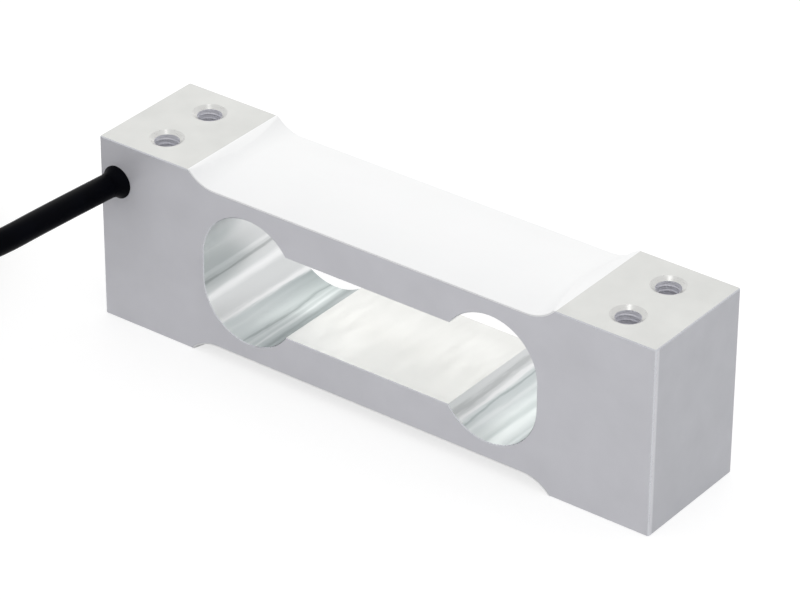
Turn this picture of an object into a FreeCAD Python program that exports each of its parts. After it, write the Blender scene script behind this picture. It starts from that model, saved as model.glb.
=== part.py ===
import FreeCAD, Part
import math
import os

import Sketcher
from FreeCAD import Placement, Rotation, Vector

# A single point load cell: an aluminium beam with two joined round pockets, strain gauges under silicone in
# the shallow recesses above and below the pockets, and a cable out of the long front face.
# Millimetres. The origin is at the middle of the underside, +X is the loaded end, -Y is the cable's face.

SIZES = {
    # beam
    "beam_length": 130,
    "beam_width": 27.5,
    "beam_height": 40,
    "block_length": 22,
    "recess_depth": 3,
    "recess_round": 8.5,
    "pocket_inset": 36.6,
    "pocket_radius": 11,
    "pocket_side": 5.4,
    "slot_height": 17.8,
    "corner_round": 0.5,
    "edge_break": 0.2,
    "mouth_break": 0.15,
    # tapped holes
    "hole_inset": 11,
    "hole_spacing": 13,
    "hole_drill": 5,
    "hole_mouth": 7,
    "countersink_depth": 0.6,
    # drilled ways for the wires
    "bore_inset": 4,
    "bore_drop": 8.9,
    "bore_diameter": 6,
    "bore_depth": 18,
    "passage_diameter": 3,
    "passage_inset": 4.2,
    "passage_overrun": 6,
    "link_hole_diameter": 1.6,
    "link_hole_inset": 1.4,
    "link_hole_offset": 7.5,
    # silicone in the recesses
    "sealant_middle": 2,
    "sealant_edge": 0.3,
    "sealant_margin": 0.1,
    # strain gauges
    "gauge_length": 8,
    "gauge_width": 5,
    "gauge_thickness": 0.1,
    "grid_length": 3.6,
    "grid_line": 0.2,
    "grid_pitch": 0.4,
    "grid_lines": 8,
    "grid_height": 0.04,
    "grid_shift": 0.8,
    "tab_length": 1.6,
    "tab_width": 1.4,
    "tab_height": 0.15,
    "tab_spacing": 2.4,
    # terminal boards and what is on them
    "board_length": 18,
    "board_width": 16,
    "board_thickness": 0.8,
    "pad_length": 1.8,
    "pad_width": 0.9,
    "pad_pitch": 1.6,
    "pad_count": 8,
    "pad_height": 0.1,
    "resistor_length": 3.2,
    "resistor_width": 1.6,
    "resistor_height": 0.5,
    "resistor_spacing": 5,
    # wires inside, bedded in the silicone a little above the floor
    "wire_lift": 0.1,
    "gauge_wire": 0.4,
    "link_wire": 0.4,
    "link_wire_gap": 0.5,
    "link_pad_offset": 7,
    "core_diameter": 0.8,
    "core_columns": 0.9,
    "core_rows": 1.1,
    "core_inner": 3.4,
    "core_outer": 5.5,
    "core_overrun": 3.4,
    "inner_landing": 6.4,
    "outer_landing": 4.4,
    "link_bend": 2,
    "link_lift": 0.35,
    "link_lean": 0.2,
    "link_rise": 0.4,
    "link_drop": 3,
    # cable and its boot
    "cable_diameter": 5,
    "plug_length": 9.75,
    "boot_base": 7,
    "boot_tip": 5,
    "boot_length": 2.5,
    # coil, tie and stripped end
    "coil_middle": 54,
    "coil_width": 19.1,
    "coil_height": 20,
    "tie_thickness": 0.8,
    "tie_width": 3.6,
    "tie_head_length": 5,
    "tie_head_depth": 4,
    "tail_length": 13.5,
    "sleeve_length": 9,
    "sleeve_lap": 7,
    "sleeve_wall": 0.4,
    "drain_diameter": 0.6,
}

# The cable's route after the boot, chosen by hand.
CABLE_ROUTE = (
    (-62.8, -33.0, 31.1),
    (-64.4, -46.0, 30.4),
    (-74.2, -61.3, 27.2),
    (-92.2, -68.45, 22.5),
    (-112.7, -68.45, 18.6),
)
COIL_CENTRE = (-126.0, -34.4)
# The stripped cores at the cable's far end, from the end of the jacket.
LEAD_ROUTES = {
    "lead_red": ((-1.0, 0, 0.7), (-1.0, 7, 0.7), (-0.6, 14, -1.9), (4.4, 20.2, -2.9), (13.0, 22.6, -2.9)),
    "lead_green": ((-0.4, 0, -0.9), (-0.4, 7, -0.9), (0.6, 13, -2.4), (6.0, 18.4, -2.9), (15.0, 20.0, -2.9)),
    "lead_white": ((1.0, 0, -0.7), (1.0, 6.5, -0.7), (2.6, 12, -2.3), (8.0, 16.2, -2.9), (16.5, 17.0, -2.9)),
    "lead_black": ((0.7, 0, 0.9), (0.7, 6, 0.9), (4.4, 11.5, -1.6), (10.4, 14.2, -2.9), (18.0, 13.6, -2.9)),
    "drain_wire": ((0, 0, 1.7), (0, 8, 1.7), (1.8, 14.0, -0.3), (7.0, 17.4, -2.6), (15.8, 18.5, -3.0)),
}
TIE_ANGLE = 135
ARC_SHARE = 0.45
TOLERANCE = 1e-4

# Places that several pieces share, as expressions of the sheet.
HALF_LENGTH = "Sizes.beam_length / 2"
HALF_WIDTH = "Sizes.beam_width / 2"
HALF_HEIGHT = "Sizes.beam_height / 2"
RECESS_EDGE = f"({HALF_LENGTH} - Sizes.block_length)"
RECESS_RUN = "sqrt(2 * Sizes.recess_round * Sizes.recess_depth - Sizes.recess_depth ^ 2)"
FLOOR_END = f"({RECESS_EDGE} - {RECESS_RUN})"
FLOOR_LEVEL = "(Sizes.beam_height - Sizes.recess_depth)"
HOLE_X = f"({HALF_LENGTH} - Sizes.hole_inset)"
GAUGE_X = f"({HALF_LENGTH} - Sizes.pocket_inset)"
BORE_X = f"-({HALF_LENGTH} - Sizes.bore_inset)"
BORE_Z = "(Sizes.beam_height - Sizes.bore_drop)"
ARC_LEVEL = f"({FLOOR_LEVEL} + Sizes.recess_round)"
MOUTH_X = f"-({RECESS_EDGE} - Sizes.passage_inset)"
MOUTH_RUN = f"({RECESS_RUN} - Sizes.passage_inset)"
MOUTH_Z = f"({ARC_LEVEL} - sqrt(Sizes.recess_round ^ 2 - {MOUTH_RUN} ^ 2))"
LINK_X = f"-({RECESS_EDGE} - Sizes.link_hole_inset)"
LINK_RUN = f"({RECESS_RUN} - Sizes.link_hole_inset)"
LINK_Z = f"({ARC_LEVEL} - sqrt(Sizes.recess_round ^ 2 - {LINK_RUN} ^ 2))"
WIRE_END = f"({GAUGE_X} - Sizes.gauge_length / 2)"

TOP, BOTTOM = "top", "bottom"
FLAT = Rotation()
OVER_X = Rotation(Vector(1, 0, 0), 180)
OVER_Y = Rotation(Vector(0, 1, 0), 180)
HALF_TURN = Rotation(Vector(0, 0, 1), 180)
ALONG_X = Rotation(Vector(0, 0, 1), Vector(1, 0, 0))
ALONG_Y = Rotation(Vector(0, 0, 1), Vector(0, 1, 0))

doc = FreeCAD.newDocument("load_cell")
nodes = []


# Sheet and sketch helpers
def make_sheet():
    sheet = doc.addObject("Spreadsheet::Sheet", "Sizes")
    for row, (alias, value) in enumerate(SIZES.items(), 1):
        sheet.set(f"A{row}", alias)
        sheet.set(f"B{row}", str(value))
        sheet.setAlias(f"B{row}", alias)
    doc.recompute()


def number(text):
    """What an expression of the sheet comes to."""
    value = doc.Sizes.evalExpression(text)
    return float(getattr(value, "Value", value))


def node(thing, label):
    """Give a finished sub-part its label and put it on the list of files."""
    thing.Label = label
    nodes.append(thing)
    return thing


def place(thing, x="0", y="0", z="0", rotation=FLAT):
    """Put a sub-part at a place given as expressions."""
    thing.Placement = Placement(Vector(number(x), number(y), number(z)), rotation)
    for axis, text in zip("xyz", (x, y, z)):
        thing.setExpression(f"Placement.Base.{axis}", text)


def new_body(name):
    return doc.addObject("PartDesign::Body", name)


def sketch_on(body, role, name, raised=None):
    """A sketch on one of the body's own planes, or raised above it."""
    sketch = body.newObject("Sketcher::SketchObject", name)
    plane = next(f for f in body.Origin.OriginFeatures if f.Role == role)
    sketch.AttachmentSupport = [(plane, "")]
    sketch.MapMode = "FlatFace"
    if raised:
        sketch.AttachmentOffset = Placement(Vector(0, 0, number(raised)), FLAT)
        sketch.setExpression("AttachmentOffset.Base.z", raised)
    return sketch


def pin(sketch, geo, point, x=None, y=None):
    """Hold a point of a sketch at coordinates given as expressions."""
    for kind, axis, text in (("DistanceX", -2, x), ("DistanceY", -1, y)):
        if text is None:
            continue
        value = number(text)
        if text == "0":
            sketch.addConstraint(Sketcher.Constraint("PointOnObject", geo, point, axis))
            continue
        ends = (-1, 1, geo, point) if value > 0 else (geo, point, -1, 1)
        held = sketch.addConstraint(Sketcher.Constraint(kind, *ends, abs(value)))
        sketch.setExpression(f"Constraints[{held}]", text if value > 0 else f"-({text})")


def outline(sketch, corners, arcs=None):
    """A closed outline. A corner is (x, y, which of them are held), and arcs gives the edges that are round:
    the number of the corner where one starts, and its (centre x, centre y, held, radius, clockwise)."""
    arcs = arcs or {}
    points = [Vector(number(x), number(y), 0) for x, y, _ in corners]
    edges = []
    for i, start in enumerate(points):
        end = points[(i + 1) % len(points)]
        if i not in arcs:
            edges.append((sketch.addGeometry(Part.LineSegment(start, end)), 1, 2))
            continue
        x, y, _, _, clockwise = arcs[i]
        centre = Vector(number(x), number(y), 0)
        circle = Part.Circle(centre, Vector(0, 0, 1), (start - centre).Length)
        first, last = (end, start) if clockwise else (start, end)
        arc = Part.ArcOfCircle(circle, circle.parameter(first), circle.parameter(last))
        edges.append((sketch.addGeometry(arc), *((2, 1) if clockwise else (1, 2))))
    for i, (geo, _, end) in enumerate(edges):
        after, start, _ = edges[(i + 1) % len(edges)]
        sketch.addConstraint(Sketcher.Constraint("Coincident", geo, end, after, start))
    for (geo, start, _), (x, y, held) in zip(edges, corners):
        pin(sketch, geo, start, x if "x" in held else None, y if "y" in held else None)
    for i, (x, y, held, radius, _) in arcs.items():
        pin(sketch, edges[i][0], 3, x if "x" in held else None, y if "y" in held else None)
        if radius:
            index = sketch.addConstraint(Sketcher.Constraint("Radius", edges[i][0], number(radius)))
            sketch.setExpression(f"Constraints[{index}]", radius)


def rectangle(sketch, left, low, right, high):
    outline(sketch, [(left, low, "xy"), (right, low, "xy"), (right, high, "xy"), (left, high, "xy")])


def rounded_rectangle(sketch, left, low, right, high, radius):
    """A rectangle with round corners, drawn anticlockwise."""
    l, r = f"({left} + {radius})", f"({right} - {radius})"
    b, t = f"({low} + {radius})", f"({high} - {radius})"
    corners = [(l, low, "x"), (r, low, "x"), (right, b, "y"), (right, t, "y")]
    corners += [(r, high, "x"), (l, high, "x"), (left, t, "y"), (left, b, "y")]
    centres = {1: (r, b), 3: (r, t), 5: (l, t), 7: (l, b)}
    outline(sketch, corners, {i: (x, y, "xy", radius, False) for i, (x, y) in centres.items()})


def circle(sketch, x, y, diameter):
    centre = Vector(number(x), number(y), 0)
    geo = sketch.addGeometry(Part.Circle(centre, Vector(0, 0, 1), number(diameter) / 2))
    pin(sketch, geo, 3, x, y)
    held = sketch.addConstraint(Sketcher.Constraint("Diameter", geo, number(diameter)))
    sketch.setExpression(f"Constraints[{held}]", diameter)


def axis_line(sketch, x0, y0, x1, y1):
    """A construction line to turn a profile about: the sketch's first axis."""
    line = Part.LineSegment(Vector(number(x0), number(y0), 0), Vector(number(x1), number(y1), 0))
    geo = sketch.addGeometry(line, True)
    pin(sketch, geo, 1, x0, y0)
    pin(sketch, geo, 2, x1, y1)
    return geo


# Feature helpers
def pad(body, sketch, length, symmetric=False):
    feature = body.newObject("PartDesign::Pad", f"{sketch.Name}_pad")
    feature.Profile = sketch
    feature.SideType = "Symmetric" if symmetric else "One side"
    feature.setExpression("Length", length)
    return feature


def pocket(body, sketch, length=None):
    """A pocket of a given depth, or right through both ways."""
    feature = body.newObject("PartDesign::Pocket", f"{sketch.Name}_pocket")
    feature.Profile = sketch
    if length:
        feature.setExpression("Length", length)
    else:
        feature.SideType = "Symmetric"
        feature.Type = "ThroughAll"
    return feature


def mirrored(body, feature, role):
    copy = body.newObject("PartDesign::Mirrored", f"{feature.Name}_mirrored")
    copy.Originals = [feature]
    copy.MirrorPlane = (next(f for f in body.Origin.OriginFeatures if f.Role == role), [""])
    body.Tip = copy
    doc.recompute()
    return copy


def edge_names(feature, test):
    return [f"Edge{i}" for i, edge in enumerate(feature.Shape.Edges, 1) if test(edge)]


def dress(body, kind, name, base, edges, size):
    """A fillet or chamfer on the named edges of the last feature."""
    feature = body.newObject(f"PartDesign::{kind}", name)
    feature.Base = (base, edges)
    feature.setExpression("Radius" if kind == "Fillet" else "Size", size)
    body.Tip = feature
    doc.recompute()
    return feature


def on_level(edge, axis, level):
    """Whether both ends of an edge have this coordinate."""
    return all(abs(getattr(vertex.Point, axis) - level) < TOLERANCE for vertex in edge.Vertexes)


def is_upright(edge):
    first = edge.Vertexes[0].Point
    return on_level(edge, "x", first.x) and on_level(edge, "y", first.y)


# Beam
def beam():
    body = new_body("beam_body")
    sketch = sketch_on(body, "XZ_Plane", "blank")
    rectangle(sketch, f"-{HALF_LENGTH}", f"-{HALF_HEIGHT}", HALF_LENGTH, HALF_HEIGHT)
    blank = pad(body, sketch, "Sizes.beam_width", symmetric=True)
    doc.recompute()
    break_edges(body, blank)
    cut_recesses(body)
    cut_pockets(body)
    drill_holes(body)
    drill_wire_ways(body)
    place(body, z=HALF_HEIGHT)
    return node(body, "beam_body")


def cut_recesses(body):
    """The recess has a flat floor that rises to the end blocks in arcs."""
    floor = f"({HALF_HEIGHT} - Sizes.recess_depth)"
    centre = f"({floor} + Sizes.recess_round)"
    sketch = sketch_on(body, "XZ_Plane", "recess")
    corners = [(f"-{RECESS_EDGE}", HALF_HEIGHT, "xy"), (f"-{FLOOR_END}", floor, "x")]
    corners += [(FLOOR_END, floor, "x"), (RECESS_EDGE, HALF_HEIGHT, "xy")]
    arcs = {0: (f"-{FLOOR_END}", centre, "xy", None, False), 2: (FLOOR_END, centre, "xy", None, False)}
    outline(sketch, corners, arcs)
    mirrored(body, pocket(body, sketch), "XY_Plane")


def break_edges(body, blank):
    """Round upright corners, then a small chamfer round the top and the underside."""
    high = number(HALF_HEIGHT)
    upright = edge_names(blank, is_upright)
    rounded = dress(body, "Fillet", "upright_corners", blank, upright, "Sizes.corner_round")
    level = edge_names(rounded, lambda edge: on_level(edge, "z", high) or on_level(edge, "z", -high))
    dress(body, "Chamfer", "level_edges", rounded, level, "Sizes.edge_break")


def cut_pockets(body):
    """Two upright rounded pockets joined by a slot, with the edges of the opening broken."""
    rise, radius = "Sizes.pocket_side / 2", "Sizes.pocket_radius"
    slot = "Sizes.slot_height / 2"
    reach = f"sqrt({radius} ^ 2 - ({slot} - {rise}) ^ 2)"
    joint, far = f"({GAUGE_X} - {reach})", f"({GAUGE_X} + {radius})"
    sketch = sketch_on(body, "XZ_Plane", "pockets")
    corners = [(f"-{joint}", slot, "y"), (joint, slot, "y"), (far, rise, "y"), (far, f"-{rise}", "y")]
    corners += [(joint, f"-{slot}", "y"), (f"-{joint}", f"-{slot}", "y")]
    corners += [(f"-{far}", f"-{rise}", "y"), (f"-{far}", rise, "y")]
    centres = {1: (GAUGE_X, rise), 3: (GAUGE_X, f"-{rise}")}
    centres |= {5: (f"-{GAUGE_X}", f"-{rise}"), 7: (f"-{GAUGE_X}", rise)}
    outline(sketch, corners, {i: (x, y, "xy", radius, True) for i, (x, y) in centres.items()})
    base = pocket(body, sketch)
    doc.recompute()
    wide, high = number(HALF_WIDTH), number(f"{rise} + {radius}")

    def on_mouth(edge):
        on_face = on_level(edge, "y", wide) or on_level(edge, "y", -wide)
        return on_face and all(abs(vertex.Z) < high for vertex in edge.Vertexes)

    dress(body, "Chamfer", "pocket_edges", base, edge_names(base, on_mouth), "Sizes.mouth_break")


def drill_holes(body):
    """Two tapped holes right through each end block, countersunk at both mouths."""
    sketch = sketch_on(body, "XY_Plane", "hole_places")
    for x in (f"-{HOLE_X}", HOLE_X):
        for y in ("-Sizes.hole_spacing / 2", "Sizes.hole_spacing / 2"):
            circle(sketch, x, y, "Sizes.hole_drill")
    holes = pocket(body, sketch)
    doc.recompute()
    radius, high = number("Sizes.hole_drill / 2"), number(HALF_HEIGHT)

    def on_mouth(edge):
        on_face = on_level(edge, "z", high) or on_level(edge, "z", -high)
        return on_face and abs(getattr(edge.Curve, "Radius", 0) - radius) < TOLERANCE

    countersink = "(Sizes.hole_mouth - Sizes.hole_drill) / 2"
    mouths = dress(body, "Chamfer", "hole_mouths", holes, edge_names(holes, on_mouth), countersink)
    mouths.ChamferType = "Two distances"
    mouths.setExpression("Size2", "Sizes.countersink_depth")
    doc.recompute()


def drill_wire_ways(body):
    """The cable's bore from the front, a slanting passage from the recess to it, and an upright hole that
    links the two recesses."""
    sketch = sketch_on(body, "XZ_Plane", "cable_bore", HALF_WIDTH)
    circle(sketch, BORE_X, f"({BORE_Z} - {HALF_HEIGHT})", "Sizes.bore_diameter")
    pocket(body, sketch, "Sizes.bore_depth")
    low, mouth = f"({BORE_Z} - {HALF_HEIGHT})", f"({MOUTH_Z} - {HALF_HEIGHT})"
    end = f"({MOUTH_X} + Sizes.passage_overrun)"
    rise = f"({mouth} - {low}) / ({MOUTH_X} - {BORE_X})"
    high = f"({mouth} + Sizes.passage_overrun * {rise})"
    sketch = sketch_on(body, "XZ_Plane", "wire_passage")
    spine = axis_line(sketch, BORE_X, low, end, high)
    half_section(sketch, spine, "Sizes.passage_diameter / 2")
    groove = body.newObject("PartDesign::Groove", "wire_passage_groove")
    groove.Profile = sketch
    groove.ReferenceAxis = (sketch, ["Axis0"])
    groove.Angle = 360
    sketch = sketch_on(body, "XY_Plane", "link_hole")
    circle(sketch, LINK_X, "Sizes.link_hole_offset", "Sizes.link_hole_diameter")
    pocket(body, sketch)
    doc.recompute()


def half_section(sketch, spine, width):
    """Half the section of a round hole: a rectangle along its axis."""
    line = sketch.Geometry[spine]
    start, end = line.StartPoint, line.EndPoint
    side = Vector(0, 0, 1).cross(end - start).normalize() * number(width)
    points = [start, end, end + side, start + side]
    geos = [sketch.addGeometry(Part.LineSegment(a, b)) for a, b in zip(points, points[1:] + points[:1])]
    for geo, after in zip(geos, geos[1:] + geos[:1]):
        sketch.addConstraint(Sketcher.Constraint("Coincident", geo, 2, after, 1))
    sketch.addConstraint(Sketcher.Constraint("Coincident", geos[0], 1, spine, 1))
    sketch.addConstraint(Sketcher.Constraint("Coincident", geos[0], 2, spine, 2))
    sketch.addConstraint(Sketcher.Constraint("Perpendicular", geos[0], geos[1]))
    sketch.addConstraint(Sketcher.Constraint("Perpendicular", geos[0], geos[3]))
    sketch.addConstraint(Sketcher.Constraint("Parallel", geos[0], geos[2]))
    held = sketch.addConstraint(Sketcher.Constraint("Distance", geos[1], number(width)))
    sketch.setExpression(f"Constraints[{held}]", width)


# What lies in the recesses
def seat(thing, side, x="0", y="0", lift="0", turned=False):
    """Put a piece on the floor of the top recess, or head down on the floor of the bottom one."""
    if side == TOP:
        place(thing, x, y, f"{FLOOR_LEVEL} + {lift}", HALF_TURN if turned else FLAT)
    else:
        place(thing, x, f"-({y})", f"Sizes.recess_depth - ({lift})", OVER_Y if turned else OVER_X)


def gauge(side, end):
    """A foil gauge: its backing, the grid along the beam, and two solder tabs towards the board."""
    label = f"gauge_{side}_{end}"
    body = new_body(label)
    half, wide = "Sizes.gauge_length / 2", "Sizes.gauge_width / 2"
    sketch = sketch_on(body, "XY_Plane", f"{label}_backing")
    rectangle(sketch, f"-{half}", f"-{wide}", half, wide)
    pad(body, sketch, "Sizes.gauge_thickness")
    sketch = sketch_on(body, "XY_Plane", f"{label}_grid", "Sizes.gauge_thickness")
    edge = "((Sizes.grid_lines - 1) * Sizes.grid_pitch / 2)"
    left = "-(Sizes.grid_length / 2 + Sizes.grid_shift)"
    right = "(Sizes.grid_length / 2 - Sizes.grid_shift)"
    rectangle(sketch, left, f"-({edge} + Sizes.grid_line / 2)", right, f"-({edge} - Sizes.grid_line / 2)")
    line = pad(body, sketch, "Sizes.grid_height")
    pattern(body, line, sketch, f"2 * {edge}", "Sizes.grid_lines")
    sketch = sketch_on(body, "XY_Plane", f"{label}_tabs", "Sizes.gauge_thickness")
    for way in ("-1", "1"):
        middle = f"{way} * Sizes.tab_spacing / 2"
        low, high = f"{middle} - Sizes.tab_width / 2", f"{middle} + Sizes.tab_width / 2"
        rectangle(sketch, f"({half} - Sizes.tab_length)", low, half, high)
    pad(body, sketch, "Sizes.tab_height")
    seat(body, side, f"-{GAUGE_X}" if end == "cable_end" else GAUGE_X, turned=end != "cable_end")
    return node(body, label)


def pattern(body, feature, sketch, length, count):
    """Copies of a feature in a row along the sketch's upright axis."""
    copies = body.newObject("PartDesign::LinearPattern", f"{feature.Name}_row")
    copies.Originals = [feature]
    copies.Direction = (sketch, ["V_Axis"])
    copies.setExpression("Length", length)
    copies.setExpression("Occurrences", count)
    body.Tip = copies
    doc.recompute()


def board(side):
    """A terminal board with a row of solder pads along each end."""
    label = f"board_{side}"
    body = new_body(label)
    half, wide = "Sizes.board_length / 2", "Sizes.board_width / 2"
    sketch = sketch_on(body, "XY_Plane", f"{label}_plate")
    rectangle(sketch, f"-{half}", f"-{wide}", half, wide)
    pad(body, sketch, "Sizes.board_thickness")
    sketch = sketch_on(body, "XY_Plane", f"{label}_pads", "Sizes.board_thickness")
    first = "((Sizes.pad_count - 1) * Sizes.pad_pitch / 2)"
    low, high = f"-({first} + Sizes.pad_width / 2)", f"-({first} - Sizes.pad_width / 2)"
    rectangle(sketch, f"-{half}", low, f"-({half} - Sizes.pad_length)", high)
    rectangle(sketch, f"({half} - Sizes.pad_length)", low, half, high)
    pads = pad(body, sketch, "Sizes.pad_height")
    pattern(body, pads, sketch, f"2 * {first}", "Sizes.pad_count")
    seat(body, side)
    return node(body, label)


def trim_resistor(name, way):
    box = doc.addObject("Part::Box", name)
    box.setExpression("Length", "Sizes.resistor_length")
    box.setExpression("Width", "Sizes.resistor_width")
    box.setExpression("Height", "Sizes.resistor_height")
    y = f"{way} * Sizes.resistor_spacing / 2 - Sizes.resistor_width / 2"
    seat(box, TOP, "-Sizes.resistor_length / 2", y, "Sizes.board_thickness")
    return node(box, name)


def gauge_wires(side, end):
    """Two straight wires along the recess floor, from the tabs of a gauge to the edge of its board."""
    label = f"gauge_wires_{side}_{end}"
    start = f"-{WIRE_END}" if end == "cable_end" else "Sizes.board_length / 2"
    lift = "(Sizes.wire_lift + Sizes.gauge_wire / 2)"
    level = f"{FLOOR_LEVEL} + {lift}" if side == TOP else f"Sizes.recess_depth - {lift}"
    wires = []
    for name, way in (("near", "-1"), ("far", "1")):
        wire = doc.addObject("Part::Cylinder", f"{label}_{name}")
        wire.setExpression("Radius", "Sizes.gauge_wire / 2")
        wire.setExpression("Height", f"{WIRE_END} - Sizes.board_length / 2")
        place(wire, start, f"{way} * Sizes.tab_spacing / 2", level, ALONG_X)
        wires.append(wire)
    pair = doc.addObject("Part::Compound", label)
    pair.Links = wires
    return node(pair, label)


# Wires, cords and other swept pieces
def rounded_path(points):
    """Straight runs joined by tangent arcs, each as large as its two runs allow, and the arcs' radii."""
    edges, radii, start = [], [], points[0]
    for before, corner, after in zip(points, points[1:], points[2:]):
        back, ahead = before - corner, after - corner
        reach = ARC_SHARE * min(back.Length, ahead.Length)
        half_turn = (math.pi - back.getAngle(ahead)) / 2
        radius = reach / math.tan(half_turn)
        back.normalize()
        ahead.normalize()
        inward = (back + ahead).normalize()
        middle = corner + inward * (radius / math.cos(half_turn) - radius)
        edges.append(Part.LineSegment(start, corner + back * reach).toShape())
        edges.append(Part.Arc(corner + back * reach, middle, corner + ahead * reach).toShape())
        start = corner + ahead * reach
        radii.append(radius)
    edges.append(Part.LineSegment(start, points[-1]).toShape())
    return Part.Wire(edges), radii


def tube(points, diameter):
    """A round solid along a route, whose volume has to be its section times its length."""
    path, radii = rounded_path([Vector(*p) for p in points])
    ring = Part.Circle(path.Vertexes[0].Point, path.Edges[0].tangentAt(0), diameter / 2)
    solid = path.makePipeShell([Part.Wire(ring.toShape())], True, True)
    goal = math.pi * diameter**2 / 4 * path.Length
    if abs(solid.Volume - goal) > 0.01 * goal:
        raise ValueError(f"a tube of {solid.Volume:.2f} should have {goal:.2f}")
    return solid, path.Length, radii


def shaped(label, shape):
    """A sub-part that is set from a shape."""
    thing = doc.addObject("Part::Feature", label)
    thing.Shape = shape
    thing.Placement = Placement()
    return thing


def passage_frame():
    """The start of the slanting passage on the bore's axis, its direction and the way across it."""
    start = Vector(number(BORE_X), 0, number(BORE_Z))
    along = (Vector(number(MOUTH_X), 0, number(MOUTH_Z)) - start).normalize()
    return start, along, along.cross(Vector(0, 1, 0))


def core(label, column, row):
    """A core of the cable, from the plug through the passage and along the recess floor to the board. The
    lower row spreads to the outer pads, and the upper row comes down later to the inner ones."""
    start, along, across = passage_frame()
    side, lift = column * number("Sizes.core_columns / 2"), row * number("Sizes.core_rows / 2")
    plug_end = number(f"Sizes.plug_length - {HALF_WIDTH}")
    level = number(f"{FLOOR_LEVEL} + Sizes.wire_lift + Sizes.core_diameter / 2")
    upper = row > 0
    end_y = column * number("Sizes.core_inner" if upper else "Sizes.core_outer")
    landing = number("Sizes.inner_landing" if upper else "Sizes.outer_landing") - number(FLOOR_END)
    out = number(f"{MOUTH_X} - {BORE_X} + Sizes.core_overrun") / along.x
    corner = start + Vector(-side, side, 0) + across * lift
    points = [Vector(corner.x, plug_end, corner.z), corner]
    points.append(start + along * out + Vector(0, side, 0) + across * lift)
    points.append(Vector(landing, end_y, level))
    points.append(Vector(-number("Sizes.board_length / 2"), end_y, level))
    solid, _, _ = tube(points, number("Sizes.core_diameter"))
    return node(shaped(label, solid), label)


def link_wire(label, place_across):
    """A thin wire from the top board through the upright hole to the bottom board."""
    radius = number("Sizes.link_wire / 2")
    x, y = number(LINK_X), number("Sizes.link_hole_offset") + place_across
    board_x, board_y = -number("Sizes.board_length / 2"), number("Sizes.link_pad_offset") + place_across
    level, high = number(f"{FLOOR_LEVEL} + Sizes.wire_lift") + radius, number("Sizes.beam_height")
    floor_end, bend = -number(FLOOR_END), number("Sizes.link_bend")
    half = [(board_x, board_y, level), (floor_end + bend, board_y, level)]
    half.append((floor_end - bend, y, level + number("Sizes.link_lift")))
    half.append((x + number("Sizes.link_lean"), y, number(f"{LINK_Z} + Sizes.link_rise")))
    half.append((x, y, high - number("Sizes.link_drop")))
    other = [(px, py, high - pz) for px, py, pz in reversed(half)]
    solid, _, _ = tube(half + other, 2 * radius)
    return node(shaped(label, solid), label)


def potting(cores):
    """Resin that fills the inner end of the cable's bore, round the cores."""
    fill = doc.addObject("Part::Cylinder", "bore_fill")
    fill.setExpression("Radius", "Sizes.bore_diameter / 2")
    fill.setExpression("Height", "Sizes.bore_depth - Sizes.plug_length")
    place(fill, BORE_X, f"Sizes.plug_length - {HALF_WIDTH}", BORE_Z, ALONG_Y)
    return node(cut(fill, cores, "bore_potting"), "bore_potting")


def cut(base, tools, name):
    """The base less the tools."""
    group = doc.addObject("Part::Compound", f"{name}_tools")
    group.Links = tools
    result = doc.addObject("Part::Cut", name)
    result.Base = base
    result.Tool = group
    return result


def sealant(side, buried):
    """Silicone over the whole recess: crowned across the beam, running up the arcs to the end blocks, and
    cast round everything on the recess floor."""
    label = f"{side}_sealant"
    body = new_body(f"{label}_pour")
    sketch = sketch_on(body, "YZ_Plane", f"{label}_middle")
    crowned_section(sketch)
    pad(body, sketch, f"2 * {FLOOR_END}", symmetric=True)
    sketch = sketch_on(body, "YZ_Plane", f"{label}_end", FLOOR_END)
    axis_line(sketch, f"-{HALF_WIDTH}", "Sizes.recess_round", HALF_WIDTH, "Sizes.recess_round")
    crowned_section(sketch)
    end = body.newObject("PartDesign::Revolution", f"{label}_end_turned")
    end.Profile = sketch
    end.ReferenceAxis = (sketch, ["Axis0"])
    end.setExpression("Angle", "acos(1 - Sizes.recess_depth / Sizes.recess_round)")
    end.Reversed = True
    doc.recompute()
    mirrored(body, end, "YZ_Plane")
    sketch = sketch_on(body, "XZ_Plane", f"{label}_level")
    above = "(Sizes.recess_depth + Sizes.recess_round)"
    rectangle(sketch, f"-{HALF_LENGTH}", "Sizes.recess_depth", HALF_LENGTH, above)
    pocket(body, sketch)
    seat(body, side)
    doc.recompute()
    return node(cut(body, buried, label), label)


def crowned_section(sketch):
    """The silicone's section across the beam: a flat underside and a gently domed top."""
    half, edge = f"({HALF_WIDTH} - Sizes.sealant_margin)", "Sizes.sealant_edge"
    crown = f"(Sizes.sealant_middle - {edge})"
    centre = f"(Sizes.sealant_middle - ({half} ^ 2 + {crown} ^ 2) / (2 * {crown}))"
    corners = [(f"-{half}", "0", "xy"), (half, "0", "xy"), (half, edge, "xy"), (f"-{half}", edge, "xy")]
    outline(sketch, corners, {2: ("0", centre, "y", None, False)})


# Cable and its boot
def cable_exit():
    """Where the cable leaves the front face, and the direction that it takes there."""
    start = Vector(number(BORE_X), -number(HALF_WIDTH), number(BORE_Z))
    return start, (Vector(*CABLE_ROUTE[0]) - start).normalize()


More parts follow.
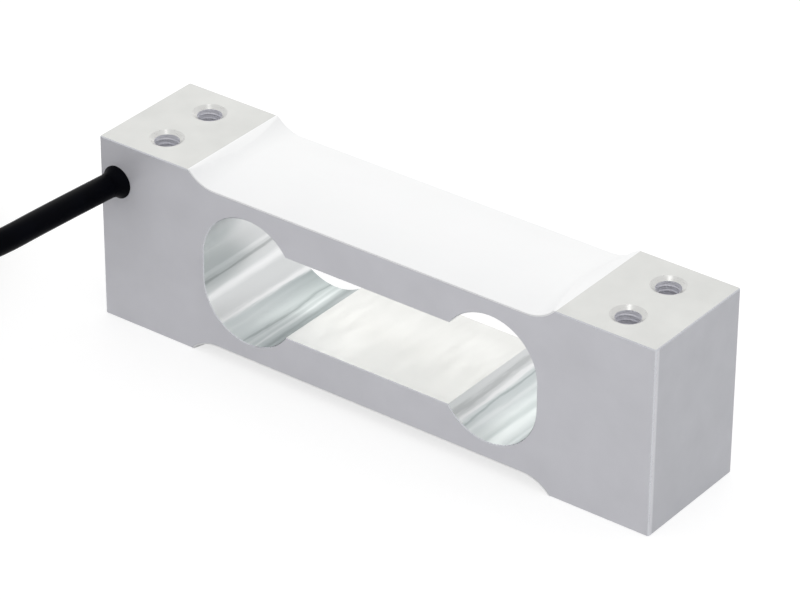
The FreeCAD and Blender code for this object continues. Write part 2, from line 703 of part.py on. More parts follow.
def boot():
    """A moulded boot: a plug in the bore, and a short flare that follows the cable's own direction."""
    plug = doc.addObject("Part::Cylinder", "boot_plug")
    plug.setExpression("Radius", "Sizes.bore_diameter / 2")
    plug.setExpression("Height", "Sizes.plug_length")
    place(plug, BORE_X, f"-{HALF_WIDTH}", BORE_Z, ALONG_Y)
    nose = new_body("boot_nose")
    sketch = sketch_on(nose, "XZ_Plane", "nose_profile")
    base, tip, length = "Sizes.boot_base / 2", "Sizes.boot_tip / 2", "Sizes.boot_length"
    flare = f"(({base} - {tip}) ^ 2 + {length} ^ 2) / (2 * ({base} - {tip}))"
    corners = [("0", "-Sizes.boot_length", "xy"), (base, "-Sizes.boot_length", "xy"), (base, "0", "xy")]
    corners += [(tip, length, "xy"), ("0", length, "xy")]
    outline(sketch, corners, {2: (f"({tip} + {flare})", length, "y", None, True)})
    turned = nose.newObject("PartDesign::Revolution", "nose_turned")
    turned.Profile = sketch
    turned.ReferenceAxis = (sketch, ["V_Axis"])
    turned.Angle = 360
    _, direction = cable_exit()
    place(nose, BORE_X, f"-{HALF_WIDTH}", BORE_Z, Rotation(Vector(0, 0, 1), direction))
    behind = doc.addObject("Part::Box", "behind_face")
    for side in ("Length", "Width", "Height"):
        behind.setExpression(side, "2 * Sizes.boot_base")
    place(behind, f"{BORE_X} - Sizes.boot_base", f"-{HALF_WIDTH}", f"{BORE_Z} - Sizes.boot_base")
    whole = doc.addObject("Part::Fuse", "cable_grommet")
    whole.Base = plug
    whole.Tool = cut(nose, [behind], "boot_flare")
    return node(whole, "cable_grommet")


def coil():
    """The outer shape of the wound cable: a ring with a rounded section, lifted by the tie below it."""
    body = new_body("cable_coil")
    sketch = sketch_on(body, "XZ_Plane", "coil_section")
    rounded_rectangle(sketch, *coil_section("0"), "Sizes.cable_diameter / 2")
    turn(body, sketch, "360")
    place(body, str(COIL_CENTRE[0]), str(COIL_CENTRE[1]))
    return node(body, "cable_coil")


def coil_section(out):
    """The sides of the coil's section, moved out by some thickness: left, low, right and high."""
    inner = f"(Sizes.coil_middle / 2 - Sizes.coil_width / 2 - {out})"
    outer = f"(Sizes.coil_middle / 2 + Sizes.coil_width / 2 + {out})"
    low = f"(Sizes.tie_thickness - {out})"
    return inner, low, outer, f"(Sizes.tie_thickness + Sizes.coil_height + {out})"


def turn(body, sketch, angle):
    """Turn a profile about the body's upright axis, to both sides of its plane."""
    feature = body.newObject("PartDesign::Revolution", f"{sketch.Name}_turned")
    feature.Profile = sketch
    feature.ReferenceAxis = (sketch, ["V_Axis"])
    feature.Midplane = True
    feature.setExpression("Angle", angle)


def coil_tie():
    """A strap round the coil's section, with its locking head outside."""
    body = new_body("coil_tie")
    sketch = sketch_on(body, "XZ_Plane", "strap_section")
    bend = "(Sizes.cable_diameter / 2 + Sizes.tie_thickness)"
    rounded_rectangle(sketch, *coil_section("Sizes.tie_thickness"), bend)
    rounded_rectangle(sketch, *coil_section("0"), "Sizes.cable_diameter / 2")
    turn(body, sketch, "Sizes.tie_width / (Sizes.coil_middle / 2) * 180 / pi")
    sketch = sketch_on(body, "XZ_Plane", "tie_head")
    _, _, face, _ = coil_section("Sizes.tie_thickness / 2")
    middle = "(Sizes.tie_thickness + Sizes.coil_height / 2)"
    low, high = f"({middle} - Sizes.tie_head_length / 2)", f"({middle} + Sizes.tie_head_length / 2)"
    rectangle(sketch, face, low, f"({face} + Sizes.tie_head_depth)", high)
    pad(body, sketch, "Sizes.tie_head_length", symmetric=True)
    place(body, str(COIL_CENTRE[0]), str(COIL_CENTRE[1]), rotation=Rotation(Vector(0, 0, 1), TIE_ANGLE))
    return node(body, "coil_tie")


def tail_start():
    """Where the cable's end leaves the side of the coil, lying on it along +Y."""
    outer = number("Sizes.coil_middle / 2 + Sizes.coil_width / 2")
    radius = outer - number("Sizes.cable_diameter / 2")
    level = number("Sizes.tie_thickness + Sizes.cable_diameter / 2")
    return Vector(COIL_CENTRE[0] - radius, COIL_CENTRE[1] + math.sqrt(outer**2 - radius**2), level)


def cable_run(wound):
    """The cable from the boot to the side of the coil."""
    start, direction = cable_exit()
    points = [start + direction * number("Sizes.boot_length"), *CABLE_ROUTE]
    solid, length, radii = tube(points, number("Sizes.cable_diameter"))
    print(f"cable run {length:.1f} mm, radii", [round(r, 1) for r in radii])
    return node(cut(shaped("cable_run", solid), [wound], "cable_tube"), "cable_tube")


def cable_tail(wound):
    """The end of the jacket, after the coil."""
    start = tail_start()
    end = start + Vector(0, number("Sizes.tail_length"), 0)
    solid, _, _ = tube([start, end], number("Sizes.cable_diameter"))
    return node(cut(shaped("tail_run", solid), [wound], "cable_tail"), "cable_tail")


def end_sleeve():
    """Shrink sleeve over the end of the jacket, with the stripped cores inside its free end."""
    start = tail_start()
    bore = "Sizes.cable_diameter / 2"
    tubes = []
    for name, radius in (("sleeve_outer", f"{bore} + Sizes.sleeve_wall"), ("sleeve_inner", bore)):
        shell = doc.addObject("Part::Cylinder", name)
        shell.setExpression("Radius", radius)
        shell.setExpression("Height", "Sizes.sleeve_length")
        place(shell, str(start.x), f"{start.y} + Sizes.tail_length - Sizes.sleeve_lap", str(start.z), ALONG_Y)
        tubes.append(shell)
    return node(cut(tubes[0], tubes[1:], "end_sleeve"), "end_sleeve")


def lead(label, route):
    """A stripped core, or the bare drain wire, from the end of the jacket."""
    end = tail_start() + Vector(0, number("Sizes.tail_length"), 0)
    diameter = number("Sizes.drain_diameter" if label == "drain_wire" else "Sizes.core_diameter")
    solid, length, radii = tube([end + Vector(*p) for p in route], diameter)
    print(f"{label} {length:.1f} mm, radii", [round(r, 1) for r in radii])
    return node(shaped(label, solid), label)


# The whole part
def build():
    make_sheet()
    beam()
    ends = ("cable_end", "load_end")
    buried = {TOP: [], BOTTOM: []}
    for side in (TOP, BOTTOM):
        buried[side] += [gauge(side, end) for end in ends]
        buried[side].append(board(side))
        buried[side] += [gauge_wires(side, end) for end in ends]
    buried[TOP] += [trim_resistor("zero_resistor", "-1"), trim_resistor("span_resistor", "1")]
    bundle = (("red", -1, -1), ("green", -1, 1), ("white", 1, 1), ("black", 1, -1))
    cores = [core(f"core_{colour}", column, row) for colour, column, row in bundle]
    gap = number("Sizes.link_wire_gap")
    ways = (("near", -1), ("middle", 0), ("far", 1))
    links = [link_wire(f"link_wire_{name}", way * gap) for name, way in ways]
    potting(cores)
    sealant(TOP, buried[TOP] + cores + links)
    sealant(BOTTOM, buried[BOTTOM] + links)
    boot()
    wound = coil()
    coil_tie()
    cable_run(wound)
    cable_tail(wound)
    end_sleeve()
    for label, route in LEAD_ROUTES.items():
        lead(label, route)
    doc.recompute()


def check():
    for thing in doc.Objects:
        if "Invalid" in thing.State or "Error" in thing.State:
            raise RuntimeError(f"{thing.Label} failed: {thing.getStatusString()}")
    for thing in nodes:
        if thing.Shape.isNull() or not thing.Shape.isValid() or thing.Shape.Volume <= 0:
            raise RuntimeError(f"{thing.Label} has no valid shape")


def write():
    os.makedirs("parts", exist_ok=True)
    for thing in nodes:
        thing.Shape.exportStep(f"parts/{thing.Label}.step")
        print(f"{thing.Label}: {len(thing.Shape.Solids)} solids, {thing.Shape.Volume:.3f} mm3")


build()
check()
write()
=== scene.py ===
# %% [markdown]
# A single point load cell: a milled aluminium beam with two joined round pockets, white silicone
# over its strain gauges, tapped holes at both ends and a black cable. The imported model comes
# first, because it fixes where everything is. All lengths in Blender are metres in that same
# frame, and MM turns a drawing's millimetres into them.

# %% Load the frame
import math

import bmesh
import bpy
from mathutils import Matrix, Vector


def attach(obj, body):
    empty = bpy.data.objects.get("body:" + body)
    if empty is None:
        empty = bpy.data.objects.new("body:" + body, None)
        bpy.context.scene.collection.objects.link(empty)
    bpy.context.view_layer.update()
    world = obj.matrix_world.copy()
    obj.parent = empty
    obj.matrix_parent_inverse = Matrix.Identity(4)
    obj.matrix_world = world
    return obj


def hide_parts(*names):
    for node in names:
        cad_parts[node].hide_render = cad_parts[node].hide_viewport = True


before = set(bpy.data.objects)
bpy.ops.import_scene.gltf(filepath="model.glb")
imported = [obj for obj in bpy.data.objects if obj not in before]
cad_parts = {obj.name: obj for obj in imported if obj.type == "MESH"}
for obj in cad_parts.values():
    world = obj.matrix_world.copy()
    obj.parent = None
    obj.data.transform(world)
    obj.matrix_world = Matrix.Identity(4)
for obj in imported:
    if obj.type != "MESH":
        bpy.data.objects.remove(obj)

MM = 0.001
scene = bpy.context.scene
scene.view_settings.view_transform = "Standard"


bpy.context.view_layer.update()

# %% [markdown]
# The camera stands where the photograph was taken from: over the loaded end, a third of the way
# up, with a long lens, so the beam's edges stay nearly parallel. A camera can be placed by hand
# and aimed with a constraint, but a turn about three axes keeps the small roll of the photograph
# as well.

# %% Camera
AZIMUTH, ELEVATION, ROLL = 36.931, 31.011, 0.3305
TARGET = Vector((-0.614, -2.2454, 20.976)) * MM
DISTANCE = 784.52 * MM
LENS, SENSOR = 186.02, 36

camera_data = bpy.data.cameras.new("photo_camera")
camera_data.lens = LENS
camera_data.sensor_width = SENSOR
camera_data.sensor_fit = "HORIZONTAL"
camera = bpy.data.objects.new("photo_camera", camera_data)
scene.collection.objects.link(camera)
turn = Matrix.Rotation(math.radians(AZIMUTH), 4, "Z")
turn = turn @ Matrix.Rotation(math.radians(90 - ELEVATION), 4, "X")
turn = turn @ Matrix.Rotation(math.radians(ROLL), 4, "Z")
back = turn.to_3x3() @ Vector((0, 0, 1))
camera.matrix_world = Matrix.Translation(TARGET + back * DISTANCE) @ turn
scene.camera = camera
print("camera at", [round(v, 4) for v in camera.matrix_world.translation])

# %% [markdown]
# The cable leaves the boot on the front face, runs out to the left, drops under its own weight
# and ends in the coil that the photograph doesn't show. A cord is one NURBS spline: its control
# points are the route, and a curve of order 3 rounds them off. The coil's turns are more points
# of the same spline, wound by a loop in four layers from the top down, so the cable never passes
# through itself.

# %% Cable route
CABLE_RADIUS = 2.5 * MM
ROUTE = [
    (-61.22, -16.1, 31.1), (-62.8, -33, 30.9), (-64.4, -46, 30.0), (-74.2, -61.3, 26.5),
    (-92.2, -68.45, 21.9), (-112.7, -68.45, 18.6),
]
TAIL = [(-160.05, -27, 3.3), (-160.05, -17, 3.3), (-160.05, -7.62, 3.3)]
COIL_X, COIL_Y = -126.0, -34.4
COIL_OUTER, COIL_INNER = 34.05, 19.95
COIL_TOP, LAYER_DROP, LAYERS = 18.3, 5.0, 4
COIL_START = math.radians(270)
LAYER_TURNS = 2.8125
TURN_POINTS = 16
STEP_DOWN = 0.3


def coil_point(turns):
    """A point of the coil after so many turns, clockwise as seen from above."""
    layer = min(int(turns / LAYER_TURNS), LAYERS - 1)
    share = turns / LAYER_TURNS - layer
    inward = share if layer % 2 == 0 else 1 - share
    radius = COIL_OUTER + (COIL_INNER - COIL_OUTER) * inward
    drop = 0
    if layer < LAYERS - 1:
        drop = max(0, (share - 1) * LAYER_TURNS / STEP_DOWN + 1)
    angle = COIL_START - math.tau * turns
    reach = radius / math.cos(math.pi / TURN_POINTS)
    height = COIL_TOP - LAYER_DROP * (layer + drop)
    return (COIL_X + reach * math.cos(angle), COIL_Y + reach * math.sin(angle), height)


turn_count = LAYERS * LAYER_TURNS
wound = [coil_point(i / TURN_POINTS) for i in range(int(turn_count * TURN_POINTS) + 1)]
cable_points = [Vector(p) * MM for p in ROUTE + wound + TAIL]
print("cable:", len(cable_points), "points,", turn_count, "turns")

# %% [markdown]
# The cable, its cores and their bare ends are all cords, so one function makes them. A tube could
# be swept as a mesh, but a curve stays smooth and its thickness is one number. The bevel is 1 m
# deep and each point scales it to the cord's own radius, because Blender adds a point's radius to
# the box that it gives for a curve.


# %% Cable
def add_piece(name, data):
    """A piece of the part, at the origin and on the only body."""
    piece = bpy.data.objects.new(name, data)
    scene.collection.objects.link(piece)
    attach(piece, "root")
    return piece


def smooth_cord(name, points, radius, steps=6):
    """One round cord along a NURBS spline whose control points are the route."""
    line = bpy.data.curves.new(name, "CURVE")
    line.dimensions = "3D"
    line.bevel_depth = 1
    line.bevel_resolution = 5
    line.use_fill_caps = True
    spline = line.splines.new("NURBS")
    spline.points.add(len(points) - 1)
    for control, place in zip(spline.points, points):
        control.co = (*place, 1)
        control.radius = radius
    spline.order_u = 3
    spline.use_endpoint_u = True
    spline.resolution_u = steps
    return add_piece(name, line)


cable = smooth_cord("cable", cable_points, CABLE_RADIUS)
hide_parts("cable_tube", "cable_coil", "cable_tail")
print("cable spline of order", cable.data.splines[0].order_u)

# %% [markdown]
# The stripped end: four insulated cores and a bare drain wire fan out of a shrink sleeve and lie
# on the table. Each core is a thin cord of its own colour. Its last few millimetres are bare
# copper, which is a second, thinner cord on the same points that shows where the insulation
# stops.

# %% Stripped end
JACKET_END = Vector((-160.05, -7.615, 3.3))
LEAD_ROUTES = {
    "lead_red": [
        (-1.0, 0, 0.7), (-1.0, 7, 0.7), (-0.6, 14, -1.9), (4.4, 20.2, -2.9), (13.0, 22.6, -2.9),
    ],
    "lead_green": [
        (-0.4, 0, -0.9), (-0.4, 7, -0.9), (0.6, 13, -2.4), (6.0, 18.4, -2.9), (15.0, 20.0, -2.9),
    ],
    "lead_white": [
        (1.0, 0, -0.7), (1.0, 6.5, -0.7), (2.6, 12, -2.3), (8.0, 16.2, -2.9), (16.5, 17.0, -2.9),
    ],
    "lead_black": [
        (0.7, 0, 0.9), (0.7, 6, 0.9), (4.4, 11.5, -1.6), (10.4, 14.2, -2.9), (18.0, 13.6, -2.9),
    ],
    "drain_wire": [
        (0, 0, 1.7), (0, 8, 1.7), (1.8, 14.0, -0.3), (7.0, 17.4, -2.6), (15.8, 18.5, -3.0),
    ],
}
CORE_RADIUS, STRAND_RADIUS, DRAIN_RADIUS = 0.4 * MM, 0.24 * MM, 0.3 * MM
INSULATED_SHARE = 0.84
LEAD_STEPS = 10

insulation, copper = {}, []
for name, route in LEAD_ROUTES.items():
    points = [(JACKET_END + Vector(p)) * MM for p in route]
    bare = name == "drain_wire"
    radius = DRAIN_RADIUS if bare else STRAND_RADIUS
    strand = smooth_cord(f"{name}_strands", points, radius, LEAD_STEPS)
    copper.append(strand)
    if bare:
        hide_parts(name)
        continue
    sheath = smooth_cord(f"{name}_sheath", points, CORE_RADIUS, LEAD_STEPS)
    sheath.data.bevel_factor_end = INSULATED_SHARE
    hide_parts(name)
    insulation[name.removeprefix("lead_")] = sheath
print("leads:", sorted(insulation), "and", len(copper), "bare strands")

# %% [markdown]
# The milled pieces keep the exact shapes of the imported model. Its meshes are loose triangles,
# which shade as flat facets, so a copy is merged, its round faces are shaded smooth, its real
# edges stay sharp, and a Weighted Normal modifier keeps the large flat faces flat. Poured
# silicone has no creases, so only its rim stays sharp.

# %% Smooth copies
SHARP, RIM = math.radians(30), math.radians(75)
WELD = 0.002 * MM


def shade_smooth(shape, limit):
    """Smooth shading that breaks at the edges that turn by a limit or more."""
    for face in shape.faces:
        face.smooth = True
    for edge in shape.edges:
        edge.smooth = edge.calc_face_angle(0) < limit


def smooth_copy(node, name, poured=False):
    """A merged, smoothly shaded copy that stands for a node."""
    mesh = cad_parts[node].data.copy()
    mesh.name = name
    if "custom_normal" in mesh.attributes:
        mesh.attributes.remove(mesh.attributes["custom_normal"])
    shape = bmesh.new()
    shape.from_mesh(mesh)
    bmesh.ops.remove_doubles(shape, verts=shape.verts, dist=WELD)
    shade_smooth(shape, RIM if poured else SHARP)
    shape.to_mesh(mesh)
    shape.free()
    mesh.materials.clear()
    piece = add_piece(name, mesh)
    if not poured:
        even = piece.modifiers.new("even_normals", "WEIGHTED_NORMAL")
        even.keep_sharp = True
    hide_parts(node)
    return piece


beam = smooth_copy("beam_body", "beam")
top_silicone = smooth_copy("top_sealant", "top_silicone", poured=True)
bottom_silicone = smooth_copy("bottom_sealant", "bottom_silicone", poured=True)
boot = smooth_copy("cable_grommet", "cable_boot")
sleeve = smooth_copy("end_sleeve", "shrink_sleeve")
print("beam:", len(beam.data.polygons), "faces; silicone:", len(top_silicone.data.polygons))

# %% [markdown]
# The strap that holds the coil is a nylon cable tie, pulled tight. A flat outline with bevelled
# corners gives its path round the bundle, as distances from the coil's middle and heights. The
# outline's edge is pulled out to the strap's width, and solidify gives it thickness. The turns
# lie further in near the table, so the path follows them there.

# %% Coil strap
STRAP_THICK, STRAP_WIDTH = 0.8, 3.6
STRAP_BEND, BEND_STEPS = 3.3, 8
STRAP_LOOP = [(18.2, 21.6), (35.6, 21.6), (36.2, 12.3), (32.2, 0), (16.5, 0)]

strap_shape = bmesh.new()
corners = [strap_shape.verts.new((out, up, -STRAP_WIDTH / 2)) for out, up in STRAP_LOOP]
strap_shape.faces.new(corners)
bmesh.ops.bevel(
    strap_shape, geom=strap_shape.verts[:], offset=STRAP_BEND, offset_type="OFFSET",
    affect="VERTICES", segments=BEND_STEPS, profile=0.5, material=-1,
)
bmesh.ops.delete(strap_shape, geom=strap_shape.faces[:], context="FACES_ONLY")
pulled = bmesh.ops.extrude_edge_only(strap_shape, edges=strap_shape.edges[:])["geom"]
edge_points = [v for v in pulled if isinstance(v, bmesh.types.BMVert)]
bmesh.ops.translate(strap_shape, vec=(0, 0, STRAP_WIDTH), verts=edge_points)
bmesh.ops.recalc_face_normals(strap_shape, faces=strap_shape.faces)
bmesh.ops.solidify(strap_shape, geom=strap_shape.faces[:], thickness=STRAP_THICK)
nearest, furthest = (f(v.co.x for v in strap_shape.verts) for f in (min, max))
print(f"strap from {nearest:.2f} to {furthest:.2f} mm from the coil's middle")

# %% [markdown]
# The tie's locking head is a block with rounded edges and a slot sunk in its top, and the strap's
# cut end stands out of the slot. Both start from cubes, which are quicker to bevel than to draw.

# %% Strap head
HEAD_SIZE, HEAD_PLACE, HEAD_EDGE = (4, 5, 5), (37.45, 12.3, 0), 0.6
TONGUE_SIZE, TONGUE_PLACE, TONGUE_EDGE = (STRAP_THICK, 3.4, 2.6), (37.85, 14.4, 0), 0.2
SLOT_RIM, SLOT_DEPTH = 0.7, 1.2


def rounded_block(size, place, edge, segments):
    """A block with rounded edges."""
    shape = bmesh.new()
    bmesh.ops.create_cube(shape, size=1)
    bmesh.ops.scale(shape, vec=size, verts=shape.verts)
    bmesh.ops.bevel(
        shape, geom=shape.edges[:], offset=edge, offset_type="OFFSET", affect="EDGES",
        segments=segments, profile=0.5, material=-1,
    )
    bmesh.ops.translate(shape, vec=place, verts=shape.verts)
    return shape


head_shape = rounded_block(HEAD_SIZE, HEAD_PLACE, HEAD_EDGE, segments=3)
top_face = max(head_shape.faces, key=lambda face: face.calc_center_median().y)
bmesh.ops.inset_region(head_shape, faces=[top_face], thickness=SLOT_RIM)
bmesh.ops.translate(head_shape, vec=(0, -SLOT_DEPTH, 0), verts=top_face.verts)
tongue_shape = rounded_block(TONGUE_SIZE, TONGUE_PLACE, TONGUE_EDGE, segments=2)
print("head:", len(head_shape.faces), "faces; cut end:", len(tongue_shape.faces))

# %% [markdown]
# The strap, its head and its cut end were drawn flat, with X as the distance from the coil's
# middle and Y as the height. One matrix stands them up at the strap's place round the coil, and
# they are joined. An object could be turned instead, but a finished piece sits at the origin,
# unturned.

# %% Strap on the coil
STRAP_ANGLE = math.radians(135)


def join_shapes(shapes, mesh):
    """Several shapes put together as one bmesh; the mesh is only used to carry them over."""
    joined = bmesh.new()
    for shape in shapes:
        shape.to_mesh(mesh)
        shape.free()
        joined.from_mesh(mesh)
    return joined


radial = Vector((math.cos(STRAP_ANGLE), math.sin(STRAP_ANGLE), 0))
upward = Vector((0, 0, 1))
strap_place = Matrix((radial, upward, radial.cross(upward))).transposed().to_4x4()
strap_place = Matrix.Translation((COIL_X, COIL_Y, 0)) @ strap_place
strap_parts = (strap_shape, head_shape, tongue_shape)
for shape in strap_parts:
    bmesh.ops.transform(shape, matrix=Matrix.Scale(MM, 4) @ strap_place, verts=shape.verts)
tie_mesh = bpy.data.meshes.new("coil_strap")
tie_shape = join_shapes(strap_parts, tie_mesh)
shade_smooth(tie_shape, SHARP)
tie_shape.to_mesh(tie_mesh)
tie_shape.free()
tie = add_piece("coil_strap", tie_mesh)
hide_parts("coil_tie")
print("strap:", len(tie_mesh.polygons), "faces")

# %% [markdown]
# Materials start from one Principled shader. What is the same all over is set on its own sockets,
# and what varies comes from noise on Object coordinates, which stay with the piece from every
# side. Noise could follow a UV map instead, but a milled block has no natural one.


# %% Shader
def finish(name, **sockets):
    """A material with a Principled shader set by its sockets: the material, its tree and shader."""
    material = bpy.data.materials.new(name)
    material.use_nodes = True
    tree = material.node_tree
    shader = tree.nodes["Principled BSDF"]
    for socket, value in sockets.items():
        if isinstance(value, tuple):
            value = (*value, 1)
        shader.inputs[socket.replace("_", " ")].default_value = value
    return material, tree, shader


def feed(node, socket, pattern):
    """Drives one of a node's sockets by a pattern."""
    node.id_data.links.new(pattern, node.inputs[socket])


# %% Noise
def object_place(tree):
    """Object coordinates, in metres from the part's origin."""
    return tree.nodes.new("ShaderNodeTexCoord").outputs["Object"]


def object_noise(tree, scale, stretch=(1, 1, 1), detail=4, roughness=0.55):
    """Noise with so many cells per metre; a small stretch makes it run along an axis."""
    mapping = tree.nodes.new("ShaderNodeMapping")
    mapping.inputs["Scale"].default_value = [scale * s for s in stretch]
    feed(mapping, "Vector", object_place(tree))
    noise = tree.nodes.new("ShaderNodeTexNoise")
    noise.inputs["Scale"].default_value = 1
    noise.inputs["Detail"].default_value = detail
    noise.inputs["Roughness"].default_value = roughness
    feed(noise, "Vector", mapping.outputs["Vector"])
    return noise.outputs["Fac"]


# %% Patterns to colours and numbers
NOISE_LOW, NOISE_HIGH = 0.3, 0.7


def ramp(tree, factor, *stops):
    """A colour ramp from (place, colour) stops."""
    node = tree.nodes.new("ShaderNodeValToRGB")
    elements = node.color_ramp.elements
    while len(elements) < len(stops):
        elements.new(0.5)
    for element, (place, colour) in zip(elements, stops):
        element.position = place
        element.color = (*colour, 1)
    feed(node, "Fac", factor)
    return node.outputs["Color"]


def map_range(tree, value, start, stop, low=0, high=1):
    """A number that goes from low to high while a value goes from start to stop."""
    node = tree.nodes.new("ShaderNodeMapRange")
    numbers = {"From Min": start, "From Max": stop, "To Min": low, "To Max": high}
    for socket, number in numbers.items():
        node.inputs[socket].default_value = number
    feed(node, "Value", value)
    return node.outputs["Result"]


def two_tone(tree, noise, dark, light):
    """A colour that varies between two tones with noise."""
    return ramp(tree, noise, (NOISE_LOW, dark), (NOISE_HIGH, light))


def spread(tree, noise, low, high):
    """A number that varies between two values with noise."""
    return map_range(tree, noise, NOISE_LOW, NOISE_HIGH, low, high)


# %% Relief
def add_bump(tree, shader, factor, depth, strength=1.0):
    """Relief of some depth in metres from a pattern."""
    node = tree.nodes.new("ShaderNodeBump")
    node.inputs["Distance"].default_value = depth
    node.inputs["Strength"].default_value = strength
    feed(node, "Height", factor)
    feed(shader, "Normal", node.outputs["Normal"])


# %% [markdown]
# The outside of the beam is aluminium with a satin anodised finish: pale cool grey, faintly
# mottled, with a very fine grain. The ends are painted a shade darker than the sides, as painted
# shade, and the mounting faces a shade warmer, as painted warm light on the tops. All three are one
# recipe with its own tone.
# The front corners of the ends are painted lighter, as a painted highlight along the rounded front
# edge, which is a mix by the distance from the beam's front face.

# %% Painted corner highlight
BEAM_FRONT, BEAM_BACK = -13.75, 13.75
# The lighter tone at the front corners is a painted highlight.
HIGHLIGHT_START, HIGHLIGHT_END = 0.045, 0.03
HIGHLIGHT_TONE = (0.74, 0.74, 0.78)
MIX_FIRST, MIX_SECOND, MIX_RESULT = 6, 7, 2


def front_to_back(tree):
    """0 at the beam's front face and 1 at its back."""
    parts = tree.nodes.new("ShaderNodeSeparateXYZ")
    feed(parts, "Vector", object_place(tree))
    return map_range(tree, parts.outputs["Y"], BEAM_FRONT * MM, BEAM_BACK * MM)


def colour_mix(tree, factor, first):
    """A mix from a colour to a second one, which is still to be set."""
    mixed = tree.nodes.new("ShaderNodeMix")
    mixed.data_type = "RGBA"
    feed(mixed, "Factor", factor)
    feed(mixed, MIX_FIRST, first)
    return mixed


def paint_corner_highlight(tree, colour):
    """A colour that turns lighter at the beam's front corners: a painted highlight."""
    near = map_range(tree, front_to_back(tree), HIGHLIGHT_START, HIGHLIGHT_END)
    mixed = colour_mix(tree, near, colour)
    mixed.inputs[MIX_SECOND].default_value = (*HIGHLIGHT_TONE, 1)
    return mixed.outputs[MIX_RESULT]


# %% Satin aluminium
DARKER, LIGHTER = 0.965, 1.035


def satin(name, tone, highlighted_corners=False):
    """Satin aluminium of some tone, mottled and finely grained, with a painted highlight on its
    front corners or without.
    """
    material, tree, shader = finish(name, Metallic=0.3)
    darker, lighter = (tuple(v * share for v in tone) for share in (DARKER, LIGHTER))
    colour = ramp(tree, object_noise(tree, 90, detail=3), (0.25, darker), (0.75, lighter))
    feed(shader, "Base Color", paint_corner_highlight(tree, colour) if highlighted_corners else colour)
    feed(shader, "Roughness", spread(tree, object_noise(tree, 260), 0.42, 0.52))
    add_bump(tree, shader, object_noise(tree, 6000, detail=2), 0.004 * MM)
    return material


# The ends' darker tone is painted shade, and the mounting faces' warmer tone is painted warm light.
sides = satin("satin_sides", (0.65, 0.65, 0.69))
ends = satin("satin_ends_painted_shade", (0.555, 0.56, 0.595), highlighted_corners=True)
mounts = satin("mounting_faces_painted_warm", (0.65, 0.655, 0.64))
print("satin finishes:", [material.name for material in (sides, ends, mounts)])

# %% [markdown]
# Inside the pockets the metal is as the cutter left it, with bright and dark streaks that run from
# front to back: partly machining marks and partly painted reflection of the light round the beam.
# They could be drawn along the wall's own UV map, but the wall goes round the pocket's middle, so a
# radial gradient gives the place round it just as well. Noise that is stretched from front to back
# shifts that place a little, so that the streaks wander.

# %% Places in the beam
POCKET_X, BEAM_MIDDLE = 28.4, 20


def round_pocket(tree, middle):
    """The place round a pocket as a share of a turn, from the loaded end's side over the top."""
    centred = tree.nodes.new("ShaderNodeMapping")
    centred.vector_type = "TEXTURE"
    centred.inputs["Location"].default_value = (middle * MM, 0, BEAM_MIDDLE * MM)
    centred.inputs["Rotation"].default_value = (math.radians(-90), 0, math.radians(180))
    feed(centred, "Vector", object_place(tree))
    gradient = tree.nodes.new("ShaderNodeTexGradient")
    gradient.gradient_type = "RADIAL"
    feed(gradient, "Vector", centred.outputs["Vector"])
    return gradient.outputs["Fac"]


def compute(tree, operation, *values):
    """A number worked out from patterns and plain numbers."""
    node = tree.nodes.new("ShaderNodeMath")
    node.operation = operation
    for socket, value in zip(node.inputs, values):
        if isinstance(value, bpy.types.NodeSocket):
            tree.links.new(value, socket)
        else:
            socket.default_value = value
    return node.outputs[0]


def drifting(tree, factor, drift, amount):
    """A place that is shifted a little by noise."""
    return compute(tree, "MULTIPLY_ADD", drift, amount, factor)


# %% [markdown]
# Each streak is listed: its angle round the pocket, half its width in degrees, and its tone against
# the plain wall. Some streaks are the same at both ends of the beam. In the photograph the lower
# wall looks cooler than the upper one, so its tones have less red.

# %% Streaks
WALL = 0.78
WANDER = 0.04
LOWER_WALL = 243
UPPER_COOL, LOWER_COOL = 0.05, 0.14
# The streak tones are partly machining marks and partly painted reflection.
BOTH_ENDS = [(140, 40, 0.96), (192, 4, 0.94), (199, 3, 0.52), (216, 7, 1)]
CABLE_END = [
    (238.5, 4.5, 1), (249, 4, 0.84), (264.5, 2.5, 0.52), (269, 3, 0.9), (277, 4, 1), (286, 4, 0.6),
]
LOAD_END = [
    (234, 3, 0.58), (240, 3, 1), (244.5, 1.5, 0.56), (252, 5, 0.92), (268, 6, 0.62), (293, 8, 0.97),
]


def metal(tone, cool):
    """Milled aluminium of some tone, with less red where it is cool and dark."""
    return (tone * (1 - cool * (1.2 - tone)), tone * 0.995, tone)


def streak_and_reflection_ramp(tree, factor, streaks, upper_fade=1, lower_fade=1):
    """A ramp of metal tones round a pocket, its streaks partly machining marks and partly painted
    reflection, plain between them.
    """
    tones = []
    for angle, half, tone in streaks:
        tones += [(angle - half, WALL), (angle, tone), (angle + half, WALL)]
    stops = []
    for angle, tone in sorted(tones):
        upper = angle < LOWER_WALL
        fade, cool = (upper_fade, UPPER_COOL) if upper else (lower_fade, LOWER_COOL)
        stops.append((angle / 360 + WANDER / 2, metal(tone * fade, cool)))
    colour = ramp(tree, factor, *stops)
    colour.node.color_ramp.interpolation = "EASE"
    return colour


# %% [markdown]
# A pocket's wall takes its colour from that ramp at the front, and from a duller one towards the
# back, as in the photograph. Fine relief along the wall breaks the gloss up.

# %% Pocket streaks and painted reflections
UPPER_FADE = 0.94


